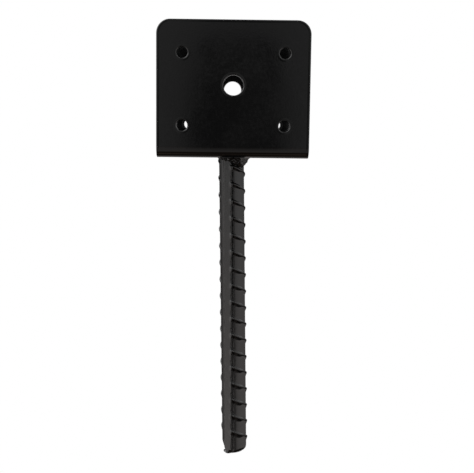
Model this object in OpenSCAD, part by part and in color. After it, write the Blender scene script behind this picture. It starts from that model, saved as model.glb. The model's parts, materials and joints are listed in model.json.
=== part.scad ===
// Post anchor: a U-shaped post bracket welded to a ribbed steel bar.
// A square timber post stands in the bracket, and the bar is set in concrete.
// Origin: centre of the seat that the post stands on. +Z is up, the side plates face -Y and +Y.
// All sizes are in millimetres and include the paint.

/* [Bracket] */
// Side of the square post that the bracket takes
post_w = 90; // [70:1:120]
// Spare room between the post and the two side plates together
post_play = 1; // [0.5:0.5:4]
// Width of the strip that the bracket is bent from
strip_w = 90; // [80:1:140]
// Thickness of the strip
strip_t = 5; // [3:0.5:8]
// Height of a side plate, from the underside of the base to its top edge
side_h = 80; // [70:1:150]
// Inside radius of the two bends
bend_r = 2; // [1:0.5:6]
// Radius of the free corners of the side plates
corner_r = 8; // [2:0.5:15]

/* [Holes] */
// Diameter of the through-bolt hole in each side plate
bolt_hole_d = 11.8; // [6:0.2:14]
// Diameter of the four screw holes in each side plate
screw_hole_d = 6.5; // [4:0.5:8]
// Distance between the screw holes across the strip
screw_span_x = 60; // [40:1:64]
// Distance between the screw holes up the plate
screw_span_z = 42; // [36:1:44]

/* [Bar] */
// Diameter of the bar's core, between the ribs
bar_d = 16; // [12:1:20]
// Length of the bar, from the underside of the base to its lower end
bar_l = 200; // [120:10:400]
// Offset of the bar's axis along X where it meets the base
bar_offset = -0.5; // [-2:0.1:2]
// Lean of the bar towards +X that its welding left; 0 stands it square to the base
bar_lean = 1.2; // [0:0.1:3]
// Height of the cross ribs at their middle
rib_h = 1.1; // [0.6:0.1:1.4]
// Width of a cross rib at its crest
rib_crest_w = 1.4; // [0.8:0.1:2]
// Width of a cross rib at its root
rib_root_w = 2.8; // [2:0.1:3.5]
// Distance from one cross rib to the next in the same row
rib_pitch = 11; // [8:0.5:14]
// Lean of the cross ribs from square to the bar
rib_lean = 27; // [10:1:30]
// Width of the two ribs that run along the bar
seam_w = 5.4; // [2:0.2:7]
// Height of the two ribs that run along the bar
seam_h = 1; // [0.4:0.1:1.4]
// Direction of the first lengthwise rib, seen from above and counted from +X
seam_angle = -113; // [-180:1:180]
// Rise of the sheared lower end towards +X
shear_angle = 5; // [0:1:10]
// Rise of the sheared lower end towards -Y
shear_tilt = 7; // [0:1:12]
// Depth that the shears squeezed the bar by on its -X side
squeeze_d = 2; // [0.5:0.5:3]
// Length of the squeezed stretch above the lower end
squeeze_l = 5.5; // [3:0.5:8]

/* [Weld] */
// Leg of the fillet weld on the base
weld_leg_base = 4.4; // [2:0.2:6]
// Leg of the fillet weld on the bar
weld_leg_bar = 5.6; // [2:0.2:6]

/* [Hidden] */

black_satin = [0.10, 0.10, 0.10];
black_rolled = [0.17, 0.165, 0.165];
black_weld = [0.13, 0.125, 0.12];

gap = post_w + post_play;
outer_y = gap / 2 + strip_t;
outer_bend_r = bend_r + strip_t;
base_z = -strip_t;
top_z = base_z + side_h;

screw_mid_z = base_z + side_h / 2;
bolt_z = top_z / 2;

core_r = bar_d / 2;
bar_end_z = base_z - bar_l;
// A cross rib is the rim of a disc that leans and stands off the bar's axis, so its height
// fades out towards both lengthwise ribs. clip_x keeps each disc on its own side of the bar.
disc_offset = 0.4;
disc_r = core_r + rib_h - disc_offset;
root_r = disc_r - rib_h;
clip_x = 0.3 * core_r;
row_a_angle = seam_angle + 90;
row_b_angle = seam_angle - 90;
// From the base down to the middle of each row's first rib, which is rolled at any height
first_rib_a = 10.8;
first_rib_b = 13;
row_a_z = base_z - first_rib_a;
row_b_z = base_z - first_rib_b;
// The last rib of a row stays clear of the lower end
end_clear = 12;
row_a_ribs = floor((row_a_z - bar_end_z - end_clear) / rib_pitch) + 1;
row_b_ribs = floor((row_b_z - bar_end_z - end_clear) / rib_pitch) + 1;
end_round = 1.2;
// Thickness of the weld where it runs out on the bar
weld_toe = 0.25;

// Longer than anything it cuts
reach = 400;
// Cutters run this far past the face they open on
past = 1;

$fn = 96;

// A rectangle that stands on y = 0, with its two lower corners rounded
module round_bottomed(w, h, r) {
    translate([-w / 2, r]) square([w, h - r]);
    translate([-w / 2 + r, 0]) square([w - 2 * r, h]);
    for (side = [-1, 1])
        translate([side * (w / 2 - r), r]) circle(r);
}

// The strip bent into a U, seen along X
module u_profile() {
    difference() {
        translate([0, base_z]) round_bottomed(2 * outer_y, side_h, outer_bend_r);
        round_bottomed(gap, top_z + past, bend_r);
    }
}

// Front view of the bracket: straight sides and two rounded top corners
module front_outline() {
    mirror([0, 1]) translate([0, -top_z]) round_bottomed(strip_w, side_h, corner_r);
}

module through_hole(d, x, z) {
    translate([x, 0, z]) rotate([90, 0, 0]) cylinder(d = d, h = 2 * outer_y + 2 * past, center = true);
}

module u_bracket() {
    color(black_satin)
    difference() {
        intersection() {
            rotate([90, 0, 90]) linear_extrude(strip_w, center = true) u_profile();
            rotate([90, 0, 0]) linear_extrude(2 * outer_y + 2 * past, center = true) front_outline();
        }
        through_hole(bolt_hole_d, 0, bolt_z);
        for (x = [-1, 1], z = [-1, 1])
            through_hole(screw_hole_d, x * screw_span_x / 2, screw_mid_z + z * screw_span_z / 2);
    }
}

// Sets what it is given off the middle, leans it about where the bar meets the base, and trims it there
module lean_under_base() {
    intersection() {
        translate([bar_offset, 0, base_z]) rotate([0, -bar_lean, 0]) translate([0, 0, -base_z]) children();
        translate([-reach / 2, -reach / 2, base_z - 2 * reach]) cube([reach, reach, 2 * reach]);
    }
}

// The core with its two lengthwise ribs, from inside the base down to below the lower end
module plain_bar() {
    translate([0, 0, -reach]) linear_extrude(reach) {
        circle(core_r);
        rotate(seam_angle) intersection() {
            circle(core_r + seam_h);
            square([2 * disc_r + 2 * past, seam_w], center = true);
        }
    }
}

module cross_rib(row_angle, z) {
    rotate(row_angle) intersection() {
        translate([disc_offset, 0, z]) rotate([-rib_lean, 0, 0]) rotate_extrude()
            polygon([
                [0, -rib_root_w / 2],
                [root_r, -rib_root_w / 2],
                [disc_r, -rib_crest_w / 2],
                [disc_r, rib_crest_w / 2],
                [root_r, rib_root_w / 2],
                [0, rib_root_w / 2]
            ]);
        translate([clip_x, -reach / 2, z - reach / 2]) cube(reach);
    }
}

// What the shears leave of the lower end: a slightly slanting face, with one side squeezed in
module end_envelope() {
    wide_r = core_r + 2 * rib_h;
    difference() {
        rotate_extrude() polygon([
            [0, bar_end_z],
            [core_r - end_round, bar_end_z],
            [core_r, bar_end_z + 2 * end_round],
            [wide_r, bar_end_z + 4 * end_round],
            [wide_r, 0],
            [0, 0]
        ]);
        translate([squeeze_d - core_r, core_r, bar_end_z]) rotate([-shear_tilt, -shear_angle, 0])
            translate([-reach / 2, -reach / 2, -reach]) cube(reach);
        translate([-core_r, 0, bar_end_z + squeeze_l]) rotate([0, -atan(squeeze_d / squeeze_l), 0])
            translate([-reach, -reach / 2, -reach / 2]) cube(reach);
    }
}

module ribbed_bar() {
    color(black_rolled)
    lean_under_base() intersection() {
        union() {
            plain_bar();
            for (i = [0:row_a_ribs - 1]) cross_rib(row_a_angle, row_a_z - i * rib_pitch);
            for (i = [0:row_b_ribs - 1]) cross_rib(row_b_angle, row_b_z - i * rib_pitch);
        }
        end_envelope();
    }
}

// Fillet weld all round the top of the bar, against the underside of the base
module fillet_weld() {
    color(black_weld)
    difference() {
        translate([bar_offset, 0, 0]) rotate_extrude() polygon([
            [0, base_z],
            [core_r + weld_leg_base, base_z],
            [core_r + weld_leg_base / 3, base_z - weld_leg_bar / 2],
            [core_r + weld_toe, base_z - weld_leg_bar],
            [0, base_z - weld_leg_bar]
        ]);
        lean_under_base() plain_bar();
    }
}

u_bracket();
ribbed_bar();
fillet_weld();
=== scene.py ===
"""Post anchor: a powder-coated U bracket welded to a ribbed bar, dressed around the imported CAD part.

Lengths inside the mesh builders are in millimetres, in the part's own frame, and make_piece() turns them
into metres. Angles are in radians unless a name or a comment says degrees.
"""
import json
import math
from typing import NamedTuple

import bpy
import numpy as np
from mathutils import Matrix, Vector, geometry, noise


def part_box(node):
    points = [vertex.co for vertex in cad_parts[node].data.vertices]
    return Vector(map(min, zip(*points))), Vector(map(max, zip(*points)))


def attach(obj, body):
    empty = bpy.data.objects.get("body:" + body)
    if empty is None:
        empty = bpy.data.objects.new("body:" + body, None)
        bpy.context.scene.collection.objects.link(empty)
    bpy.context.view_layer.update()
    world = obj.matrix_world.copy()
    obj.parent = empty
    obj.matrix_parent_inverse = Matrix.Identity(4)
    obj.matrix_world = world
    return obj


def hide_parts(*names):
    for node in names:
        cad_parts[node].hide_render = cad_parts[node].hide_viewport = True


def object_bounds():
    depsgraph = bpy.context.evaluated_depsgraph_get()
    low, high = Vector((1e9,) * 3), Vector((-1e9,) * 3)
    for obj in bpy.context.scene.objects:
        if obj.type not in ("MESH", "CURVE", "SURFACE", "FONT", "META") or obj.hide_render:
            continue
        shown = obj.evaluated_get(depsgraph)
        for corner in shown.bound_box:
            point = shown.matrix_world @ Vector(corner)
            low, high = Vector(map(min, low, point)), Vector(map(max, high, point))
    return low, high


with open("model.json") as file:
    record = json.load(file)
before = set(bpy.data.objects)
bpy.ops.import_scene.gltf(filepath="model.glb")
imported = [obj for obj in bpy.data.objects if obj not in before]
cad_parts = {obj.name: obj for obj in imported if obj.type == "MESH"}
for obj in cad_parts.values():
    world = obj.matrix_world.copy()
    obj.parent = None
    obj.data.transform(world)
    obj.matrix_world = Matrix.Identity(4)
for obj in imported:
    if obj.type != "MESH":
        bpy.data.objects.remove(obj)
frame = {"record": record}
cad_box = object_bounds()

MM = 0.001
FULL_TURN = 2 * math.pi
WHITE = (1.0, 1.0, 1.0, 1.0)


# ---------------------------------------------------------------- sizes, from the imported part

def node_box(name):
    """Lowest and highest corner of a CAD node, in millimetres."""
    return tuple(np.array(corner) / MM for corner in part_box(name))


def mount(name):
    """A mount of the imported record."""
    return next(m for m in frame["record"]["mounts"] if m["name"] == name)


strip_low, strip_high = node_box("u_bracket")
STRIP_W = strip_high[0] - strip_low[0]
STRIP_T = -strip_low[2]
OUTER_Y = strip_high[1]
TOP_Z = strip_high[2]
BASE_Z = strip_low[2]
BEND_IN_R = 2.0        # inside radius of the two bends
BEND_OUT_R = BEND_IN_R + STRIP_T
CORNER_R = 8.0         # radius of the side plates' free corners

bolt = mount("through_bolt")
screws = mount("front_screws")
BOLT_R = bolt["dims"]["r_mm"]
BOLT_Z = bolt["pos_m"][2] / MM
SCREW_R = screws["dims"]["hole_r_mm"]
SCREW_Z = screws["pos_m"][2] / MM
SCREW_DX = screws["dims"]["spacing_x_mm"] / 2
SCREW_DZ = screws["dims"]["spacing_y_mm"] / 2

anchor = mount("ground_anchor")
BAR_LEAN = math.atan2(anchor["axis"][0], -anchor["axis"][2])
BAR_X = anchor["pos_m"][0] / MM - (BASE_Z - anchor["pos_m"][2] / MM) * math.tan(BAR_LEAN)
BAR_LENGTH = 199.7     # down the bar's axis, from the underside of the base to the lowest point
CORE_R = 8.0           # radius of the bar between its ribs


# ---------------------------------------------------------------- small helpers

def clamp(value):
    """The value, kept between 0 and 1."""
    return min(max(value, 0.0), 1.0)


def smooth(start, end, value):
    """0 at start and beyond, 1 at end and beyond, and a smooth step between them."""
    share = clamp((value - start) / (end - start))
    return share * share * (3.0 - 2.0 * share)


def ripple(point, size, seed=0.0):
    """Smooth noise from about -1 to 1 whose lumps are about size wide."""
    return noise.noise(Vector(point) / size + Vector((seed, 3.1 * seed, -1.7 * seed)))


def lumpy(point, lumps):
    """The sum of several ripples, each given as its height, size and seed."""
    return sum(height * ripple(point, size, seed) for height, size, seed in lumps)


class Skin:
    """A mesh as it grows, in millimetres."""

    def __init__(self):
        self.points = []
        self.faces = []

    def put(self, point):
        """Adds a vertex and returns its number."""
        self.points.append(point)
        return len(self.points) - 1

    def face(self, *corners):
        """Adds a face without its repeated corners, or none if fewer than three are left."""
        distinct = [v for i, v in enumerate(corners) if v != corners[i - 1]]
        if len(distinct) >= 3 and len(set(distinct)) == len(distinct):
            self.faces.append(tuple(distinct))

    def band(self, ring, following):
        """Adds the faces between two closed rings of as many vertices."""
        for i in range(len(ring)):
            j = (i + 1) % len(ring)
            self.face(ring[i], following[i], following[j], ring[j])


def make_piece(name, skin, material, normals=None):
    """A mesh object from a skin."""
    mesh = bpy.data.meshes.new(name)
    mesh.from_pydata([tuple(float(c) * MM for c in p) for p in skin.points], [], skin.faces)
    mesh.validate()
    mesh.update()
    mesh.polygons.foreach_set("use_smooth", [True] * len(mesh.polygons))
    if normals is not None:
        mesh.normals_split_custom_set_from_vertices(normals)
    mesh.materials.append(material)
    piece = bpy.data.objects.new(name, mesh)
    bpy.context.scene.collection.objects.link(piece)
    return piece


# ---------------------------------------------------------------- materials

class Nodes:
    """A short way to write a node tree."""

    def __init__(self, tree):
        self.tree = tree
        tree.nodes.clear()

    def feed(self, socket, value):
        """Links another node's socket to this one, or sets this one to a plain value."""
        if isinstance(value, bpy.types.NodeSocket):
            self.tree.links.new(value, socket)
        else:
            socket.default_value = value

    def add(self, kind, inputs=None, **settings):
        """Adds a node; inputs maps the names or numbers of its input sockets to what feeds them."""
        node = self.tree.nodes.new(kind)
        for key, value in settings.items():
            setattr(node, key, value)
        for key, value in (inputs or {}).items():
            self.feed(node.inputs[key], value)
        return node

    def noise(self, where, size, detail):
        """Noise from 0 to 1 whose lumps are about size metres wide."""
        inputs = {"Vector": where, "Scale": 1 / size, "Detail": detail, "Roughness": 0.55}
        return self.add("ShaderNodeTexNoise", inputs).outputs["Fac"]

    def remap(self, value, low, high, to_low, to_high, **settings):
        """The value, moved and kept from the range low to high into the range to_low to to_high."""
        inputs = {"Value": value, "From Min": low, "From Max": high, "To Min": to_low, "To Max": to_high}
        return self.add("ShaderNodeMapRange", inputs, **settings).outputs["Result"]

    def math(self, operation, a, b):
        return self.add("ShaderNodeMath", {0: a, 1: b}, operation=operation).outputs[0]

    def total(self, first, *others):
        for value in others:
            first = self.math("ADD", first, value)
        return first

    def product(self, first, *others):
        for value in others:
            first = self.math("MULTIPLY", first, value)
        return first

    def mix(self, share, a, b):
        """Colour a where share is 0, and colour b where it is 1."""
        node = self.add("ShaderNodeMix", data_type="RGBA")
        colour_a, colour_b, result = node.inputs[6], node.inputs[7], node.outputs[2]
        self.feed(node.inputs[0], share)
        self.feed(colour_a, a)
        self.feed(colour_b, b)
        return result

    def finish(self, kind, shader):
        """Links the shader to a new output node of that kind."""
        output = self.add(kind)
        self.tree.links.new(shader, output.inputs["Surface"])


PATCH_SIZE = 0.03                       # metres; patches of slightly other colour and gloss
PATCH_COLOUR_SPAN = (0.35, 0.65)        # the noise over which the darker paint turns into the lighter
PATCH_GLOSS = 0.035                     # how far the patches' roughness strays either way
PATCH_GLOSS_SPAN = (0.3, 0.7)           # and the noise over which it does
SPECK_SIZE = 0.0016                     # metres; dust and pin marks
DUST_SPAN = (0.62, 0.78)                # the noise over which a speck of dust shows
DUST_GAIN = 3.0                         # how much lighter it is than the lighter paint
SPECK_GLOSS = (-0.02, 0.05)             # what the specks add to the roughness
SPECK_GLOSS_SPAN = (0.4, 0.8)           # and the noise over which they do
WORN_COLOUR = (0.06, 0.055, 0.05, 1.0)  # where the paint is thin on an edge
WORN_EDGE_SPAN = (0.53, 0.62)           # the pointiness over which an edge shows
WORN_PLACE_SPAN = (0.45, 0.6)           # the noise over which it is worn
WORN_GLOSS = 0.12                       # what a worn edge adds to the roughness


def powder_coat(name, dark, light, rough, peel_size, peel_depth, lump_size, lump_depth, worn, dust):
    """Black paint: colour and gloss vary a little, orange peel and lumps lie under it, edges are worn thin.

    Sizes and depths are in metres; worn and dust are shares from 0 to 1.
    """
    material = bpy.data.materials.new(name)
    material.use_nodes = True
    n = Nodes(material.node_tree)
    where = n.add("ShaderNodeTexCoord").outputs["Object"]
    patches = n.noise(where, PATCH_SIZE, detail=4.0)
    specks = n.noise(where, SPECK_SIZE, detail=2.0)
    peel = n.noise(where, peel_size, detail=1.5)
    lumps = n.noise(where, lump_size, detail=2.5)

    edges = n.add("ShaderNodeNewGeometry").outputs["Pointiness"]
    thin = n.product(n.remap(edges, *WORN_EDGE_SPAN, 0.0, 1.0), n.remap(lumps, *WORN_PLACE_SPAN, 0.0, worn))
    colour = n.mix(n.remap(patches, *PATCH_COLOUR_SPAN, 0.0, 1.0), dark, light)
    dusty = [c * DUST_GAIN for c in light[:3]] + [1.0]
    colour = n.mix(n.remap(specks, *DUST_SPAN, 0.0, dust), colour, dusty)
    colour = n.mix(thin, colour, WORN_COLOUR)

    gloss = n.remap(patches, *PATCH_GLOSS_SPAN, rough - PATCH_GLOSS, rough + PATCH_GLOSS)
    gloss = n.total(gloss, n.remap(specks, *SPECK_GLOSS_SPAN, *SPECK_GLOSS), n.product(thin, WORN_GLOSS))

    bump = n.add("ShaderNodeBump", {"Height": lumps, "Distance": lump_depth, "Strength": 1.0})
    normal = {"Normal": bump.outputs["Normal"]}
    bump = n.add("ShaderNodeBump", {"Height": peel, "Distance": peel_depth, "Strength": 1.0, **normal})
    normal = {"Normal": bump.outputs["Normal"]}
    look = {"Base Color": colour, "Roughness": gloss, "Metallic": 0.0, "IOR": 1.5, **normal}
    paint = n.add("ShaderNodeBsdfPrincipled", look)
    n.finish("ShaderNodeOutputMaterial", paint.outputs["BSDF"])
    return material


# ---------------------------------------------------------------- the bent strip

EDGE_R = 0.45          # rounding of the strip's sheared edges under the paint
EDGE_LIP = 0.02        # how high the paint stands beside them
RIM_R = 0.48           # rounding of the hole rims
RIM_LIP = 0.05         # how high the paint stands round them
EDGE_STEPS = 4
# The paint's lip: how far beyond the rounding, share of its height, and slope of its surface
LIP_RINGS = ((1.3, 0.0, 0.0), (0.75, 0.6, -0.06), (0.25, 1.0, 0.0))
LIP_REACH = LIP_RINGS[0][0]
HOLE_SIDES = 48
CORNER_STEPS = 12
BEND_STEPS = 14
GRID = 4.0             # spacing of the points along the edges and on the flat faces
LEAST_GAP = 1.0        # least distance from such a point to the next bend, middle or corner
SIDE_MARGIN = 3.0      # from the strip's sides to the nearest points of the flat faces
END_MARGIN = 3.5       # and from its ends
CORNER_MARGIN = 3.2    # and from its rounded corners
INSIDE_EDGES = 1       # tells delaunay_2d_cdt() to make triangles inside the edges only
SAME_SPOT = 1e-5       # spots nearer to each other than this become one

ARM = TOP_Z - (BASE_Z + BEND_OUT_R)                       # straight part of a side plate
BEND_LENGTH = math.pi / 2 * (BEND_IN_R + STRIP_T / 2)     # a bend, measured at half thickness
BASE_LENGTH = 2 * (OUTER_Y - BEND_OUT_R)                  # straight part of the base
STRIP_LENGTH = 2 * ARM + 2 * BEND_LENGTH + BASE_LENGTH


def bend_strip(x, along, depth):
    """Where a point of the flat strip ends up, and the outward direction of the strip there.

    along runs from the top edge of the -Y plate, under the base, to the top edge of the +Y plate;
    depth runs from 0 on the outside of the U to STRIP_T on its inside.
    """
    far_side = along > STRIP_LENGTH / 2
    if far_side:
        along = STRIP_LENGTH - along
    centre_y = -(OUTER_Y - BEND_OUT_R)
    centre_z = BASE_Z + BEND_OUT_R
    if along <= ARM:
        y, z = -OUTER_Y + depth, TOP_Z - along
        out_y, out_z = -1.0, 0.0
    elif along <= ARM + BEND_LENGTH:
        turn = (along - ARM) / BEND_LENGTH * math.pi / 2
        out_y, out_z = -math.cos(turn), -math.sin(turn)
        y = centre_y + out_y * (BEND_OUT_R - depth)
        z = centre_z + out_z * (BEND_OUT_R - depth)
    else:
        y, z = centre_y + (along - ARM - BEND_LENGTH), BASE_Z + depth
        out_y, out_z = 0.0, -1.0
    if far_side:
        y, out_y = -y, -out_y
    return (x, y, z), (out_y, out_z)


class StripSkin(Skin):
    """The strip's mesh, whose vertices are given on the flat strip and have normals of their own."""

    def __init__(self):
        super().__init__()
        self.normals = []

    def put_flat(self, x, along, depth, out=(0.0, 0.0), tilt=0.0):
        """Adds a vertex; tilt turns its normal from the face's own towards out, a flat direction."""
        place, (out_y, out_z) = bend_strip(x, along, depth)
        run_y, run_z = -out_z, out_y
        face_sign = 1.0 if depth < STRIP_T / 2 else -1.0
        c, s = math.cos(tilt) * face_sign, math.sin(tilt)
        self.normals.append((
            s * out[0],
            c * out_y + s * out[1] * run_y,
            c * out_z + s * out[1] * run_z,
        ))
        return self.put(place)


def strip_stations(first):
    """Distances along the strip, from first to its mirror image: even, but closer in the bends."""
    half = [*np.arange(first, ARM - LEAST_GAP, GRID)]
    half += [*(ARM + np.linspace(0.0, BEND_LENGTH, BEND_STEPS + 1))]
    half += [*np.arange(ARM + BEND_LENGTH + GRID, STRIP_LENGTH / 2 - LEAST_GAP, GRID)]
    return [*half, STRIP_LENGTH / 2, *(STRIP_LENGTH - along for along in reversed(half))]


def strip_outline():
    """The flat strip's outline, counterclockwise, as (point, direction out of the strip)."""
    half = STRIP_W / 2
    side_x = half - CORNER_R
    across = np.arange(-side_x + GRID, side_x - LEAST_GAP, GRID)
    stations = strip_stations(CORNER_R + GRID)
    loop = []

    def corner(centre_x, centre_along, start):
        for a in (start + math.pi / 2 * step / CORNER_STEPS for step in range(CORNER_STEPS + 1)):
            out = (math.cos(a), math.sin(a))
            loop.append(((centre_x + CORNER_R * out[0], centre_along + CORNER_R * out[1]), out))

    corner(side_x, CORNER_R, -math.pi / 2)
    loop.extend(((half, along), (1.0, 0.0)) for along in stations)
    corner(side_x, STRIP_LENGTH - CORNER_R, 0.0)
    loop.extend(((x, STRIP_LENGTH), (0.0, 1.0)) for x in reversed(across))
    corner(-side_x, STRIP_LENGTH - CORNER_R, math.pi / 2)
    loop.extend(((-half, along), (-1.0, 0.0)) for along in reversed(stations))
    corner(-side_x, CORNER_R, math.pi)
    loop.extend(((x, 0.0), (0.0, -1.0)) for x in across)
    return loop


def hole_loop(x, along, radius):
    """A hole's edge, as (point, direction out of the metal and into the hole)."""
    loop = []
    for i in range(HOLE_SIDES):
        a = -FULL_TURN * i / HOLE_SIDES
        loop.append(((x + radius * math.cos(a), along + radius * math.sin(a)), (-math.cos(a), -math.sin(a))))
    return loop


def strip_holes():
    """Centre and radius of every hole in the flat strip, on both plates."""
    one_plate = [(0.0, TOP_Z - BOLT_Z, BOLT_R)]
    for dx in (-SCREW_DX, SCREW_DX):
        for dz in (-SCREW_DZ, SCREW_DZ):
            one_plate.append((dx, TOP_Z - (SCREW_Z + dz), SCREW_R))
    return one_plate + [(x, STRIP_LENGTH - along, r) for x, along, r in one_plate]


def edge_profile(radius, lip):
    """Rings from a flat face over the rounded edge to the wall: (distance in from the edge, depth, tilt)."""
    rings = [(radius + beyond, -height * lip, slope) for beyond, height, slope in LIP_RINGS]
    for step in range(1, EDGE_STEPS + 1):
        tilt = math.pi / 2 * step / EDGE_STEPS
        rings.append((radius * (1 - math.sin(tilt)), radius * (1 - math.cos(tilt)), tilt))
    return rings


def inset_points(loop, inset):
    """The points of a loop, moved into the metal."""
    return [(x - out[0] * inset, along - out[1] * inset) for (x, along), out in loop]


def add_border(skin, loop, radius, lip):
    """Adds the rounded edges and the wall along a loop.

    Returns the border's outline on the flat strip and its outermost rings, outside and inside the U.
    """
    profile = edge_profile(radius, lip)
    through = profile + [(inset, STRIP_T - depth, tilt) for inset, depth, tilt in reversed(profile)]
    rings = []
    for inset, depth, tilt in through:
        spots = zip(inset_points(loop, inset), loop)
        rings.append([skin.put_flat(x, along, depth, out, tilt) for (x, along), (_, out) in spots])
    for upper, lower in zip(rings, rings[1:]):
        for i in range(len(loop)):
            j = (i + 1) % len(loop)
            skin.face(upper[i], upper[j], lower[j], lower[i])
    return inset_points(loop, profile[0][0]), rings[0], rings[-1]


def flat_grid(holes):
    """Points of the flat faces, clear of the borders round the strip and the holes."""
    half = STRIP_W / 2 - SIDE_MARGIN
    spots = []
    for along in strip_stations(END_MARGIN):
        corner_y = CORNER_R - min(along, STRIP_LENGTH - along)
        for x in np.linspace(-half, half, int(2 * half / GRID) + 1):
            corner_x = abs(x) - (STRIP_W / 2 - CORNER_R)
            in_corner = corner_x > 0 and corner_y > 0
            near_corner = in_corner and math.hypot(corner_x, corner_y) > CORNER_R - CORNER_MARGIN
            near_hole = any(
                math.hypot(x - hole_x, along - hole_along) < radius + RIM_R + LIP_REACH + GRID / 2
                for hole_x, hole_along, radius in holes
            )
            if not near_hole and not near_corner:
                spots.append(Vector((x, along)))
    return spots


def build_strip(material):
    """The painted strip: flat faces with rounded edges and hole rims, bent into the U."""
    skin = StripSkin()
    holes = strip_holes()
    borders = [add_border(skin, strip_outline(), EDGE_R, EDGE_LIP)]
    borders += [add_border(skin, hole_loop(*hole), RIM_R, RIM_LIP) for hole in holes]

    # The flat faces between the borders, cut into even triangles
    flat, owners, edges = [], [], []
    for number, (outline, _, _) in enumerate(borders):
        start, size = len(flat), len(outline)
        flat.extend(Vector(point) for point in outline)
        owners.extend([number] * size)
        edges.extend((start + i, start + (i + 1) % size) for i in range(size))
    flat.extend(flat_grid(holes))
    spots, _, triangles, origins = geometry.delaunay_2d_cdt(flat, edges, [], INSIDE_EDGES, SAME_SPOT)[:4]

    # The border point that each spot is, or None for a spot of the grid
    sources = [ids[0] if ids and ids[0] < len(owners) else None for ids in origins]

    def in_hole(triangle):
        """True if all three corners lie on the border of the same hole; border 0 is the strip's outline."""
        around = {None if sources[i] is None else owners[sources[i]] for i in triangle}
        return len(around) == 1 and around.isdisjoint({None, 0})

    metal = [triangle for triangle in triangles if not in_hole(triangle)]
    outside = [vertex for _, ring, _ in borders for vertex in ring]
    inside = [vertex for _, _, ring in borders for vertex in ring]
    for depth, border_vertices, order in ((0.0, outside, -1), (STRIP_T, inside, 1)):
        placed = []
        for spot, source in zip(spots, sources):
            if source is None:
                placed.append(skin.put_flat(spot.x, spot.y, depth))
            else:
                placed.append(border_vertices[source])
        for triangle in metal:
            skin.face(*(placed[i] for i in triangle[::order]))
    return make_piece("bent_strip", skin, material, skin.normals)


# ---------------------------------------------------------------- the ribbed bar

# Depths go down the bar from the underside of the base. Directions go counterclockwise from +X, seen from
# above. Local angles go the same way, but from the middle of the first lengthwise rib, which turns slowly
# down the bar. Off a cross rib's crest, positive lengths lie below it.

# The lengthwise ribs. Lengths from the middle of such a rib are measured round the bar at SEAM_EDGE_R.
SEAM_START = math.radians(-106.5)      # direction of the first one at the base
SEAM_TWIST = math.radians(-0.067)      # how far both turn for each millimetre further down
SEAM_FLAT = 8.82                       # distance of the flat crest from the bar's axis
SEAM_EDGE_R = 9.2                      # radius that the crest's two edges reach
SEAM_CREST = 2.65                      # half the width of the crest
SEAM_FOOT = 2.95                       # half the width at the foot
EDGE_WAVER = ((0.16, 3.2, 6.0),)       # how the crest's edges waver: lumps, as lumpy() takes them

# The groove that runs along the foot of a lengthwise rib
GROOVE_DEPTH = 0.5
GROOVE_END = 4.15                      # its outer side, from the middle of the lengthwise rib
TOP_GROOVE_WALL = 1.1                  # width of its outer wall at the top of the bar
END_GROOVE_WALL = 0.3                  # and at the lower end
WALL_CHANGE = (0.2, 0.6)               # shares of the bar's length between which it narrows

# Where a cross rib of row A runs into a lengthwise rib, that one's edge bulges out, and above it dips in
BULGE = 0.8                            # how far the edge bulges out at the top of the bar
BULGE_FADE = 1.6                       # how fast that dwindles down the bar: 1 would end it at the lower end
BULGE_TOP = (-0.6, 0.7)                # off the cross rib's crest: where it begins and where it is full
BULGE_BOTTOM = (3.4, 1.6)              # where it ends and down to where it is full
DIP = 0.35                             # how far the edge dips in
DIP_PLACE = -2.6                       # off the cross rib's crest
DIP_REACH = (0.2, 1.5)                 # distances from there up to which it is full and at which it is gone
MOUND = 0.42                           # how high a mound stands over the edge where the bulge is full
MOUND_START = 0.8                      # where the mound begins, from the middle of the lengthwise rib
MOUND_END = 3.9                        # and where it ends

# The cross ribs. They grow higher and wider away from the middle of their row.
RIB_DROP = 3.72                        # how far they fall for each radian round the bar
RIB_SPREAD = 1.2                       # how much wider their lower flank gets, at the top of the bar
SPREAD_GROWTH = 1.1                    # and how much more at the lower end
SPREAD_RANGE = (0.15, 0.65)            # radians from the row's middle between which it widens
RIB_RISE = 1.2                         # how fast they grow higher
FADE_RANGE = 0.5                       # radians over which they fade out
FLANK_ROUNDING = 0.4                   # share of a rounded flank in a straight one
RIB_WEAR = ((0.08, 1.3, 2.0),)         # how unevenly they are worn: lumps, as shares of their height
WEAR_STEP = 7.0                        # how far apart two ribs lie in that noise, so that they differ
BLEND_POWER = 4                        # how sharply a cross rib and a lengthwise one meet
BAR_LUMPS = ((0.03, 5.0, 4.0), (0.018, 1.8, 9.0))     # the lumps of the rolled surface


class Row(NamedTuple):
    """A row of cross ribs."""

    reference: float   # direction at which its ribs' depths are given
    first: float       # depth of the first crest there
    pitch: float
    count: int
    height: float      # at the row's middle
    crest: float       # half the width of a rib's crest
    foot: float        # half the width at its foot
    fade: float        # radians from the row's middle at which the ribs begin to fade out


# As the camera sees the bar, row A is on its right and row B on its left
ROW_A = Row(
    reference=0.0, first=12.44, pitch=10.99, count=17,
    height=0.72, crest=0.25, foot=0.9, fade=1.3,
)
ROW_B = Row(
    reference=math.pi, first=14.54, pitch=11.07, count=16,
    height=0.62, crest=0.15, foot=0.65, fade=0.45,
)

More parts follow.
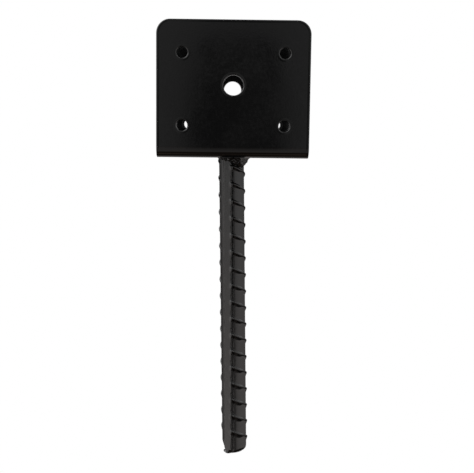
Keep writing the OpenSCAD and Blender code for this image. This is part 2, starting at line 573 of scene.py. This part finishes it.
# The sheared lower end
END_ZONE = 10.0                        # length of the stretch that the shears changed
SQUEEZE = 4.1                          # how far its -X side is pressed in at the lowest point
SQUEEZE_LENGTH = 10.0                  # how far up that reaches
SQUEEZE_PLAY = 0.2                     # how far outside the core it starts
SHEAR_SLOPE_X = math.tan(math.radians(5.0))     # rise of the sheared face towards +X
SHEAR_SLOPE_Y = math.tan(math.radians(7.0))     # and towards -Y
BURR = 2.4                             # how far the rim is drawn out in a burr on the squeezed side
BURR_LENGTH = 1.1                      # how far up that reaches
BURR_CURL = 0.8                        # how far its edge curls up
BURR_SIDE = math.radians(8)            # how far its middle is turned from -X towards -Y
BURR_SPAN = (0.5, 0.85)                # toward_burr() where the burr begins and where it is full
CURL_SPAN = (0.7, 0.97)                # and where the curl does
# The rounding of the rim: on the squeezed side, what it gains away from there, and what more at +X
ROUND_HEIGHT = (0.4, 1.9, 1.5)
ROUND_DEPTH = (0.2, 1.7, 0.8)
ROUND_AWAY = (-0.6, -0.3)              # x, as a share of the radius, between which the first gain comes
ROUND_RIGHT = (-0.2, 0.8)              # and the second

# The bar's mesh
TURN_SHIFT = 2                         # whole pitches that the mesh lines fall by in one turn round the bar
HALF_RIB_LINES = (0.25, 0.5, 0.7, 0.9, 1.1, 1.35, 1.65, 2.1, 2.8, 3.6, 4.5)
RIB_LINES = [-offset for offset in reversed(HALF_RIB_LINES)] + [0.0, *HALF_RIB_LINES, 5.5]
LINE_PITCHES = range(-5, 21)           # numbers of the pitches that the mesh lines are made for
LINE_EASE = (math.radians(81), math.radians(90))      # off a row's middle: its lines ease to the other row's
GUESSES = 3                            # rounds that work out a line's depth, as its angle hangs on it
LIFT_GUESSES = 2                       # and rounds for the depth of a point over the slanting sheared face
TOP_GATHER = 0.3                       # lines less deep than this are drawn up to the top
END_GATHER = 0.1                       # and lines nearer than this to the sheared stretch down to it
GROOVE_COLUMNS = (SEAM_FOOT, 3.1, 3.3, 3.5, 3.7, 3.85)     # vertices across the groove, from the rib's middle
OPEN_COLUMNS = 32                      # vertices from one groove to the next
# Levels of the mesh in the sheared stretch, closest at the rim
END_LEVELS = (*np.linspace(0.4, END_ZONE - 2.0, 14), *np.linspace(END_ZONE - 1.8, END_ZONE, 10))
FACE_RINGS = (0.9, 0.7, 0.45, 0.2)     # rings of the sheared face, as shares of its size
FACE_LUMPS = ((0.12, 2.5, 6.0),)       # the lumps of its surface


def seam_angle(depth):
    """Direction of the first lengthwise rib."""
    return SEAM_START + SEAM_TWIST * depth


def row_at(local):
    """The row of cross ribs at a local angle from 0 to a full turn, and the angle from the row's middle."""
    if local < math.pi:
        return ROW_A, local - math.pi / 2
    return ROW_B, local - 3 * math.pi / 2


def nearest_rib(row, local, depth):
    """Number of the row's nearest cross rib, and how far off its crest the depth is."""
    angle = math.remainder(seam_angle(depth) + local - row.reference, FULL_TURN)
    below_first = depth - (row.first + RIB_DROP * angle)
    number = round(below_first / row.pitch)
    return number, below_first - number * row.pitch


def cross_rib(row, turn, number, off, share):
    """Height of a cross rib over the core, away from the lengthwise ribs.

    turn is the angle from the row's middle, off the distance from the rib's crest, and share the place
    down the bar, from 0 to 1.
    """
    foot = row.foot
    if off > 0:
        foot += (RIB_SPREAD + SPREAD_GROWTH * share) * smooth(*SPREAD_RANGE, abs(turn))
    slope = clamp((abs(off) - row.crest) / (foot - row.crest))
    slope = (1 - FLANK_ROUNDING) * slope + FLANK_ROUNDING * smooth(0.0, 1.0, slope)
    wear = 1 + lumpy((turn, number * WEAR_STEP, row.reference), RIB_WEAR)
    height = row.height * wear * (1 + RIB_RISE * (1 - math.cos(turn)))
    height *= smooth(row.fade + FADE_RANGE, row.fade, abs(turn))
    return height * (1 - slope)


def bar_radius(local, depth):
    """Distance of the rolled surface from the bar's axis."""
    share = clamp(depth / BAR_LENGTH)
    off_seam = abs(math.remainder(local, math.pi))
    arc = off_seam * SEAM_EDGE_R
    row, turn = row_at(local % FULL_TURN)
    number, off = nearest_rib(row, local, depth)
    rolled = number < row.count

    # The lengthwise rib and the groove at its foot
    bulge, dip = 0.0, 0.0
    if rolled and row is ROW_A:
        bulge = smooth(*BULGE_TOP, off) * smooth(*BULGE_BOTTOM, off)
        dip = 1 - smooth(*DIP_REACH, abs(off - DIP_PLACE))
    waver = lumpy((row.reference, 0.0, depth), EDGE_WAVER)
    wider = BULGE * bulge * max(0.0, 1 - BULGE_FADE * share)
    edge = smooth(SEAM_CREST, SEAM_FOOT, arc - wider + DIP * dip + waver)
    flat = SEAM_FLAT / max(math.cos(off_seam), 0.5) - CORE_R      # 0.5 is only reached far from the rib
    seam = max(min(flat, SEAM_EDGE_R - CORE_R) * (1 - edge), 0.0)
    wall = TOP_GROOVE_WALL + (END_GROOVE_WALL - TOP_GROOVE_WALL) * smooth(*WALL_CHANGE, share)
    groove = GROOVE_DEPTH * edge * clamp((GROOVE_END - arc) / wall)

    # The cross rib, and the mound where it runs into the lengthwise one
    rib = 0.0
    if rolled:
        rib = cross_rib(row, turn, number, off, share) * smooth(SEAM_CREST, SEAM_FOOT, arc)
    together = (seam ** BLEND_POWER + rib ** BLEND_POWER) ** (1 / BLEND_POWER)
    mound = MOUND * bulge * smooth(MOUND_START, SEAM_CREST, arc) * smooth(MOUND_END, SEAM_FOOT, arc)
    spot = (SEAM_EDGE_R * math.cos(local), SEAM_EDGE_R * math.sin(local), depth)
    return CORE_R + together + mound - groove + lumpy(spot, BAR_LUMPS)


def crest_depth(row, s, local, guess):
    """Depth of a row's crest number s at a local angle, whose direction is taken at a guessed depth."""
    return row.first + row.pitch * s + RIB_DROP * (seam_angle(guess) + local - row.reference)


def line_depth(local, s):
    """Depth of mesh line s at a local angle: whole values of s follow the cross ribs' crests.

    At the lengthwise ribs the lines run halfway between the crests of both rows. The mesh is a screw, so
    where the turn round the bar ends, line s goes on as line s + TURN_SHIFT.
    """
    row, turn = row_at(local)
    in_a = row is ROW_A
    share = smooth(*LINE_EASE, abs(turn))
    depth = ROW_A.pitch * s
    for _ in range(GUESSES):
        here = crest_depth(row, s if in_a else s + 1, local, depth)
        if share > 0:
            if (turn > 0) == in_a:
                line_a = crest_depth(ROW_A, s, math.pi, depth)
                line_b = crest_depth(ROW_B, s + 1, math.pi, depth)
            else:
                near = s if in_a else s + TURN_SHIFT
                line_a = crest_depth(ROW_A, near, 0.0, depth)
                line_b = crest_depth(ROW_B, near + 1 - TURN_SHIFT, FULL_TURN, depth)
            gap = (line_b - line_a) / 2
            here += share * (gap if in_a else -gap)
        depth = here
    return depth


def bar_point(local, depth, radius):
    """A point of the bar, which leans about where its axis meets the base."""
    angle = seam_angle(depth) + local
    x, y = radius * math.cos(angle), radius * math.sin(angle)
    c, s = math.cos(BAR_LEAN), math.sin(BAR_LEAN)
    return (BAR_X + x * c + depth * s, y, BASE_Z - depth * c + x * s)


def toward_burr(angle):
    """1 towards the middle of the burr, 0 square to it and -1 on the far side."""
    return math.cos(angle - math.pi - BURR_SIDE)


def end_lift(x, y):
    """How far the sheared face lies above its lowest corner."""
    slant = max(0.0, x + CORE_R - SQUEEZE) * SHEAR_SLOPE_X + (CORE_R - y) * SHEAR_SLOPE_Y
    return slant + BURR_CURL * smooth(*CURL_SPAN, toward_burr(math.atan2(y, x)))


def end_radius(local, depth, radius):
    """The radius left by the shears near the lower end: squeezed in, drawn out in a burr, and rounded."""
    angle = seam_angle(depth) + local
    x, y = math.cos(angle), math.sin(angle)
    above = BAR_LENGTH - depth
    if x < 0:
        limit = CORE_R + SQUEEZE_PLAY - SQUEEZE * clamp(1 - above / SQUEEZE_LENGTH)
        radius = min(radius, limit / -x)
    above = max(above - end_lift(x * radius, y * radius), 0.0)
    if above < BURR_LENGTH:
        radius += BURR * (1 - above / BURR_LENGTH) * smooth(*BURR_SPAN, toward_burr(angle))
    gains = (1.0, smooth(*ROUND_AWAY, x), smooth(*ROUND_RIGHT, x))
    round_height = sum(amount * gain for amount, gain in zip(ROUND_HEIGHT, gains))
    round_depth = sum(amount * gain for amount, gain in zip(ROUND_DEPTH, gains))
    short = clamp(1 - above / round_height)
    if short > 0:
        radius = min(radius, CORE_R - round_depth * (1 - math.sqrt(1 - short * short)))
    return radius


def bar_columns():
    """Local angles of the mesh's vertices over a full turn, closest at the edges of the lengthwise ribs."""
    start, crest = MOUND_START / SEAM_EDGE_R, SEAM_CREST / SEAM_EDGE_R
    foot, end = SEAM_FOOT / SEAM_EDGE_R, GROOVE_END / SEAM_EDGE_R
    half_rib = [0.0, start / 2, *np.linspace(start, crest, 5)[:-1], *np.linspace(crest, foot, 6)[:-1]]
    half_rib += [length / SEAM_EDGE_R for length in GROOVE_COLUMNS]
    half_turn = [*half_rib, *np.linspace(end, math.pi - end, OPEN_COLUMNS)]
    half_turn += [math.pi - angle for angle in reversed(half_rib[1:])]
    return half_turn + [angle + math.pi for angle in half_turn]


def add_rolled_stretch(skin, columns, end):
    """Adds the bar down to the depth end, with mesh lines that follow the cross ribs as a screw thread does.

    Returns the vertices round the end.
    """
    top, bottom = {}, {}

    def rolled(local, depth):
        return skin.put(bar_point(local, depth, bar_radius(local, depth)))

    grid = []
    for s in (k + offset / ROW_A.pitch for k in LINE_PITCHES for offset in RIB_LINES):
        line = []
        for local in columns:
            depth = line_depth(local, s)
            if depth <= TOP_GATHER:
                if local not in top:
                    top[local] = rolled(local, 0.0)
                line.append(top[local])
            elif depth >= end - END_GATHER:
                if local not in bottom:
                    bottom[local] = rolled(local, end)
                line.append(bottom[local])
            else:
                line.append(rolled(local, depth))
        grid.append(line)

    shift = TURN_SHIFT * len(RIB_LINES)
    last = len(columns) - 1
    for r in range(len(grid) - 1 - shift):
        for c in range(last):
            skin.face(grid[r][c], grid[r + 1][c], grid[r + 1][c + 1], grid[r][c + 1])
        skin.face(grid[r][last], grid[r + 1][last], grid[r + 1 + shift][0], grid[r + shift][0])
    return [bottom[local] for local in columns]


def add_sheared_end(skin, columns, start, ring):
    """Adds the stretch that the shears changed and its end face, from the ring of vertices at the start."""
    for down in END_LEVELS:
        below = []
        for local in columns:
            depth = start + down
            for _ in range(LIFT_GUESSES):
                radius = end_radius(local, depth, bar_radius(local, depth))
                angle = seam_angle(depth) + local
                lift = end_lift(radius * math.cos(angle), radius * math.sin(angle))
                depth = start + down * (1 - lift / END_ZONE)
            below.append(skin.put(bar_point(local, depth, radius)))
        skin.band(ring, below)
        ring = below

    rim = [Vector(skin.points[vertex]) for vertex in ring]
    middle = sum(rim, Vector((0, 0, 0))) / len(rim)
    for share in FACE_RINGS:
        inner = []
        for place in rim:
            spot = middle + (place - middle) * share
            inner.append(skin.put((spot.x, spot.y, spot.z + lumpy(spot, FACE_LUMPS))))
        skin.band(ring, inner)
        ring = inner
    centre = skin.put(tuple(middle))
    for i in range(len(ring)):
        skin.face(ring[i], centre, ring[(i + 1) % len(ring)])


def build_bar(material):
    """The rolled bar and its sheared end."""
    skin = Skin()
    columns = bar_columns()
    rolled_end = BAR_LENGTH - END_ZONE
    ring = add_rolled_stretch(skin, columns, rolled_end)
    add_sheared_end(skin, columns, rolled_end, ring)
    return make_piece("rolled_bar", skin, material)


# ---------------------------------------------------------------- the weld

# Round the bar, from +X counterclockwise: degrees, how far the bead reaches on the base from the bar's axis
# and down the bar, and its profile, from 1 for a round one by way of 2 for a straight one to 3 for a hollow
# one. The last line closes the turn and says what the first says.
WELD_LEGS = (
    (0, 12.2, 3.6, 1.5),
    (40, 11.8, 5.2, 1.6),
    (90, 11.6, 5.2, 2.0),
    (140, 11.4, 4.0, 2.2),
    (170, 11.0, 2.3, 2.4),
    (190, 11.2, 2.2, 2.6),
    (225, 14.0, 3.0, 3.2),
    (250, 14.6, 4.2, 3.2),
    (270, 14.6, 5.4, 3.0),
    (288, 14.0, 6.6, 2.3),
    (305, 13.0, 7.4, 1.4),
    (322, 12.0, 8.0, 1.3),
    (336, 12.0, 6.6, 1.4),
    (347, 12.3, 4.6, 1.4),
    (360, 12.2, 3.6, 1.5),
)
WELD_COLUMNS = 240
WELD_ROWS = 44
WELD_INSIDE = 7.6      # the bead's skin ends this far from the axis, inside the bar
WELD_TOE = 1.3         # how far outside that the toe stands before it turns in
TOE_SHARPNESS = 8      # how suddenly it turns in
WELD_MIDDLE = 10.0     # radius at which the ragged edges and the waves are laid out
# The lumps of its edge on the base, of its toe on the bar and of its surface
REACH_LUMPS = ((0.45, 2.6, 1.0),)
DROP_LUMPS = ((0.75, 2.0, 5.0), (0.35, 0.8, 11.0))
WELD_LUMPS = ((0.4, 2.3, 3.0), (0.6, 1.0, 7.0))
LUMPS_END = 1 / 1.1    # share of the way to the toe at which the lumps and the waves have faded out
WAVE_HEIGHT = 0.12     # of the waves that the welder's hand left
WAVE_RATE = 0.29843    # radians that they advance for each degree round the bar
WAVE_LEAN = 2.5        # radians that they trail from the base to the toe
WAVE_WAVER = ((1.5, 5.0, 8.0),)        # how unevenly they come: lumps, in radians


def weld_legs(degrees):
    """Reach on the base, depth on the bar and profile at an angle, eased between the listed ones."""
    low, high = next((a, b) for a, b in zip(WELD_LEGS, WELD_LEGS[1:]) if degrees <= b[0])
    share = smooth(low[0], high[0], degrees)
    return tuple(a + (b - a) * share for a, b in zip(low[1:], high[1:]))


def weld_point(degrees, t):
    """A point of the bead; t runs from 0 at its edge on the base to 1 at its toe on the bar."""
    a = math.radians(degrees)
    reach, drop, profile = weld_legs(degrees)
    around = (WELD_MIDDLE * math.cos(a), WELD_MIDDLE * math.sin(a), 0.0)
    reach += lumpy(around, REACH_LUMPS)
    drop += lumpy(around, DROP_LUMPS)

    bulge = math.pi / 2 * t
    down = math.sin(bulge) ** profile
    toe = WELD_TOE * math.sqrt(max(0.0, 1 - down ** TOE_SHARPNESS))
    radius = WELD_INSIDE + toe + (reach - WELD_INSIDE - WELD_TOE) * math.cos(bulge) ** profile
    depth = drop * down

    spot = (radius * math.cos(a), radius * math.sin(a), depth)
    wave = WAVE_RATE * degrees + WAVE_LEAN * t + lumpy(around, WAVE_WAVER)
    between = math.sin(math.pi * min(t / LUMPS_END, 1.0))
    push = between * (lumpy(spot, WELD_LUMPS) + WAVE_HEIGHT * math.sin(wave))
    radius += push * math.cos(bulge)
    depth += push * math.sin(bulge) * (1 - down)
    return (BAR_X + radius * math.cos(a), radius * math.sin(a), BASE_Z - max(depth, 0.0))


def build_weld(material):
    """A hand-laid bead round the top of the bar: rippled and lumpy, with a ragged toe."""
    skin = Skin()
    rings = []
    for row in range(WELD_ROWS + 1):
        t = row / WELD_ROWS
        rings.append([skin.put(weld_point(360 * column / WELD_COLUMNS, t)) for column in range(WELD_COLUMNS)])
    for upper, lower in zip(rings, rings[1:]):
        skin.band(upper, lower)
    return make_piece("weld_bead", skin, material)


# ---------------------------------------------------------------- stage, light and camera

FLOOR_HALF = 6.0       # metres; half the side of the floor


def flat_material(name, colour):
    """A plain surface, evenly lit, that can't be seen from below."""
    material = bpy.data.materials.new(name)
    material.use_nodes = True
    n = Nodes(material.node_tree)
    glow = n.add("ShaderNodeEmission", {"Color": colour, "Strength": 1.0})
    clear = n.add("ShaderNodeBsdfTransparent")
    below = n.add("ShaderNodeNewGeometry").outputs["Backfacing"]
    both = n.add("ShaderNodeMixShader", {0: below, 1: glow.outputs["Emission"], 2: clear.outputs["BSDF"]})
    n.finish("ShaderNodeOutputMaterial", both.outputs["Shader"])
    return material


def build_stage():
    """A pale floor under the bar's end, which neither lights the part nor shows in its paint."""
    z = cad_box[0].z
    corners = [(x * FLOOR_HALF, y * FLOOR_HALF, z) for x, y in ((-1, -1), (1, -1), (1, 1), (-1, 1))]
    mesh = bpy.data.meshes.new("floor")
    mesh.from_pydata(corners, [], [(0, 1, 2, 3)])
    mesh.materials.append(flat_material("pale_floor", WHITE))
    floor = bpy.data.objects.new("floor", mesh)
    bpy.context.scene.collection.objects.link(floor)
    floor.visible_diffuse = False
    floor.visible_glossy = False
    floor.visible_shadow = False


# How bright the room is all round at the height of the part, from straight behind it by way of the left,
# the camera's side and the right: (degrees from the camera's direction, brightness)
ROOM = (
    (-180, 0.25), (-150, 0.1), (-130, 0.12), (-112, 0.45), (-90, 0.85), (-81, 1.3),
    (-72, 1.65), (-64, 1.45), (-58, 1.25), (-34, 1.02), (-24, 0.42), (-10, 0.2),
    (-6, 0.28), (0.5, 0.21), (6.5, 0.28), (9, 0.15), (13, 0.25), (22, 0.75),
    (34, 0.95), (64, 1.05), (90, 0.88), (120, 0.45), (150, 0.15), (180, 0.25),
)
ROOM_GAIN = 2.0                     # a colour ramp holds 0 to 1, so it holds the brightness divided by this

# The rest of the light is laid out by direction: x to the right, y away from the camera and z up, each from
# -1 to 1. A span is a pair: where a thing begins, and where it is full.
FRONT_SPAN = (0.0, -0.5)            # y, of the camera's side
REAR_SPAN = (0.0, 0.4)              # y, of the side behind the part
SIDE_SPAN = (0.09, 0.22)            # x either way, of what isn't the middle
LOW_GAIN = 0.28                     # how much brighter the room is towards the floor
LOW_SPAN = (-0.2, -0.42)            # z
CEILING = 0.2                       # brightness overhead
CEILING_SPAN = (0.3, 0.8)           # z
WARM = (1.0, 0.94, 0.92, 1.0)       # tint of what the floor sends back
WARM_SPAN = (-0.02, -0.2)           # z
GROUND = (1.0, 0.72, 0.55, 1.0)     # tint of the ground straight below
GROUND_SPAN = (-0.8, -0.95)         # z
# Away from the middle the light ends higher up, so the undersides of the ribs are dark
MIDDLE_LIGHT_SPAN = (-0.92, -0.84)  # z, of the room's light in the middle
SIDE_LIGHT_SPAN = (-0.72, -0.47)    # z, of the room's light at the sides
LEAST_LIGHT = 0.02                  # share of it that is left everywhere
MIDDLE_LIGHT = 0.2                  # share of it that is added in the middle
# The soft boxes: spans in z and x, and brightness
FRONT_LEFT_BOX = ((0.0, 0.22), (-0.2, -0.4), 1.4)
REAR_LEFT_BOX = ((0.1, 0.3), (-0.12, -0.4), 1.8)
REAR_RIGHT_BOX = ((0.15, 0.4), (0.35, 0.6), 1.1)
# The dark shape in front of the part, such as a camera on its stand
SHAPE_X = 0.009
SHAPE_HALF = 0.042                  # half its width
SHAPE_SIDES = (1.3, 0.7)            # span of its soft sides, as shares of that
SHAPE_FOOT = 0.014                  # how much wider either half is lower down
SHAPE_FOOT_SPAN = (0.08, 0.0)       # z
SHAPE_TOP_SPAN = (0.094, 0.074)     # z, of its upper edge
SHAPE_LOW_SPAN = (-0.9, -0.1)       # z, over which it darkens from the ground up
SHAPE_DARK = 0.78                   # how much of the light it takes


def build_light():
    """Soft boxes at the left and right of a dim room; the backdrop that the camera sees is plain white."""
    world = bpy.data.worlds.new("studio")
    bpy.context.scene.world = world
    world.use_nodes = True
    n = Nodes(world.node_tree)
    direction = n.add("ShaderNodeTexCoord").outputs["Generated"]
    parts = n.add("ShaderNodeSeparateXYZ", {"Vector": direction})
    x, y, z = parts.outputs["X"], parts.outputs["Y"], parts.outputs["Z"]

    def ramp(value, start, end, height=1.0):
        """0 at start and beyond, height at end and beyond, and a smooth step between them."""
        return n.remap(value, start, end, 0.0, height, interpolation_type="SMOOTHSTEP")

    def size_of(value):
        return n.math("ABSOLUTE", value, 0.0)

    def without(share):
        return n.math("SUBTRACT", 1.0, share)

    def soft_box(z_span, x_span, brightness, side):
        return n.product(ramp(z, *z_span), ramp(x, *x_span, brightness), side)

    azimuth = n.math("ARCTAN2", x, n.product(y, -1.0))
    band = n.add("ShaderNodeValToRGB", {"Fac": n.remap(azimuth, -math.pi, math.pi, 0.0, 1.0)})
    stops = band.color_ramp.elements
    while len(stops) < len(ROOM):
        stops.new(0.5)
    for stop, (degrees, brightness) in zip(stops, ROOM):
        stop.position = (degrees + 180) / 360
        grey = brightness / ROOM_GAIN
        stop.color = (grey, grey, grey, 1.0)
    room = n.product(band.outputs["Color"], ROOM_GAIN)

    front, rear = ramp(y, *FRONT_SPAN), ramp(y, *REAR_SPAN)
    off_shape = size_of(n.math("SUBTRACT", x, SHAPE_X))
    shape_half = n.total(SHAPE_HALF, ramp(z, *SHAPE_FOOT_SPAN, SHAPE_FOOT))
    shape = n.product(ramp(n.math("DIVIDE", off_shape, shape_half), *SHAPE_SIDES), ramp(z, *SHAPE_TOP_SPAN))
    shape = n.product(shape, front, ramp(z, *SHAPE_LOW_SPAN, SHAPE_DARK))
    room = n.product(room, without(shape))
    room = n.product(room, n.total(1.0, ramp(z, *LOW_SPAN, LOW_GAIN)))

    sides = ramp(size_of(x), *SIDE_SPAN)
    middle_light = n.product(ramp(z, *MIDDLE_LIGHT_SPAN), without(sides))
    side_light = n.product(ramp(z, *SIDE_LIGHT_SPAN), sides)
    everywhere = n.total(LEAST_LIGHT, n.product(without(sides), MIDDLE_LIGHT))
    room = n.product(room, n.total(middle_light, side_light, everywhere))

    boxes = n.total(
        soft_box(*FRONT_LEFT_BOX, front),
        soft_box(*REAR_LEFT_BOX, rear),
        soft_box(*REAR_RIGHT_BOX, rear),
        n.product(ramp(z, *CEILING_SPAN), CEILING),
    )
    tint = n.mix(ramp(z, *GROUND_SPAN), n.mix(ramp(z, *WARM_SPAN), WHITE, WARM), GROUND)
    seen = n.add("ShaderNodeLightPath").outputs["Is Camera Ray"]
    studio = n.add("ShaderNodeBackground", {"Color": tint, "Strength": n.total(room, boxes)})
    white = n.add("ShaderNodeBackground", {"Color": WHITE, "Strength": 1.0})
    both = n.add("ShaderNodeMixShader", {0: seen, 1: studio.outputs[0], 2: white.outputs[0]})
    n.finish("ShaderNodeOutputWorld", both.outputs[0])
    bpy.context.scene.view_settings.view_transform = "Standard"


CAMERA_PLACE = (-2.69, -582.5, 24.12 + BASE_Z)      # millimetres
CAMERA_TURN = (0.631, 7.547, 0.683)                 # degrees to the right, down, and round its own axis
SENSOR_WIDTH = 36.0
LENS = 68.45


def build_camera():
    """The camera stands level with the plates, a little left of the middle, and looks slightly down."""
    data = bpy.data.cameras.new("camera")
    data.sensor_width = SENSOR_WIDTH
    data.lens = LENS
    data.clip_start = 0.01
    data.clip_end = 50.0
    camera = bpy.data.objects.new("camera", data)
    bpy.context.scene.collection.objects.link(camera)
    bpy.context.scene.camera = camera
    yaw, pitch, roll = (math.radians(a) for a in CAMERA_TURN)
    ahead = Vector((math.sin(yaw) * math.cos(pitch), math.cos(yaw) * math.cos(pitch), -math.sin(pitch)))
    right = Vector((math.cos(yaw), -math.sin(yaw), 0.0))
    up = right.cross(ahead)
    right, up = right * math.cos(roll) + up * math.sin(roll), up * math.cos(roll) - right * math.sin(roll)
    turn = Matrix((right, up, -ahead)).transposed().to_4x4()
    camera.matrix_world = Matrix.Translation(Vector(CAMERA_PLACE) * MM) @ turn


# ---------------------------------------------------------------- the scene

build_camera()
build_stage()
build_light()

bracket_paint = powder_coat(
    "bracket_powder_coat",
    dark=(0.0016, 0.0016, 0.0017, 1.0),
    light=(0.0026, 0.0026, 0.0026, 1.0),
    rough=0.1,
    peel_size=0.0011,
    peel_depth=0.000006,
    lump_size=0.006,
    lump_depth=0.00001,
    worn=0.25,
    dust=0.1,
)
bar_paint = powder_coat(
    "bar_powder_coat",
    dark=(0.0011, 0.001, 0.001, 1.0),
    light=(0.0019, 0.0018, 0.0017, 1.0),
    rough=0.24,
    peel_size=0.0009,
    peel_depth=0.00003,
    lump_size=0.0032,
    lump_depth=0.00009,
    worn=0.3,
    dust=0.25,
)
weld_paint = powder_coat(
    "weld_powder_coat",
    dark=(0.0012, 0.0011, 0.001, 1.0),
    light=(0.0022, 0.002, 0.0019, 1.0),
    rough=0.2,
    peel_size=0.0009,
    peel_depth=0.00012,
    lump_size=0.0018,
    lump_depth=0.0003,
    worn=0.3,
    dust=0.25,
)

strip = build_strip(bracket_paint)
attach(strip, "root")
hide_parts("u_bracket")

bar = build_bar(bar_paint)
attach(bar, "root")
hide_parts("ribbed_bar")

weld = build_weld(weld_paint)
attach(weld, "root")
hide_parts("fillet_weld")
